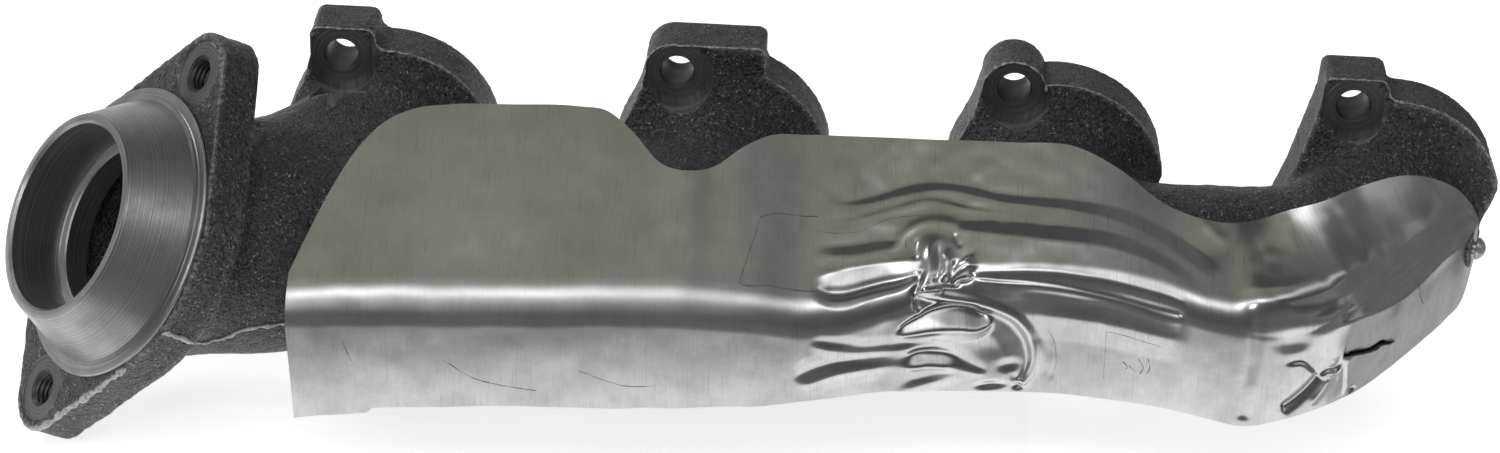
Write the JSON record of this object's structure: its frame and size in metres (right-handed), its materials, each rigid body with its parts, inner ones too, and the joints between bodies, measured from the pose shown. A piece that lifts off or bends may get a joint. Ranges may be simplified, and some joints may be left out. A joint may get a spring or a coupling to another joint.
{
  "type": "exhaust manifold",
  "caption": "Cast-iron log exhaust manifold with head flanges, a conical flanged outlet at one end and a riveted pressed-steel heat shield.",
  "frame": {"origin": "on the plane of the head faces, midway along the upper row of flange bolts", "axes": "+Y into the cylinder head, square to the head faces; X along the upper row of bolts, with the outlet at -X; +Z towards the upper bolt row"},
  "size_m": [0.4366, 0.1139, 0.1177],
  "materials": {
    "casting_iron": "rough sand-cast, dark grey, machined at the bolt seats and the outlet",
    "shield_sheet": "rolled and pressed sheet, brushed, dull, creased",
    "rivet_steel": "smooth dome"
  },
  "bodies": {
    "root": {"manifold_casting": "casting_iron", "heat_shield": "shield_sheet", "end_rivet": "rivet_steel", "tab_rivet": "rivet_steel"}
  },
  "joints": []
}
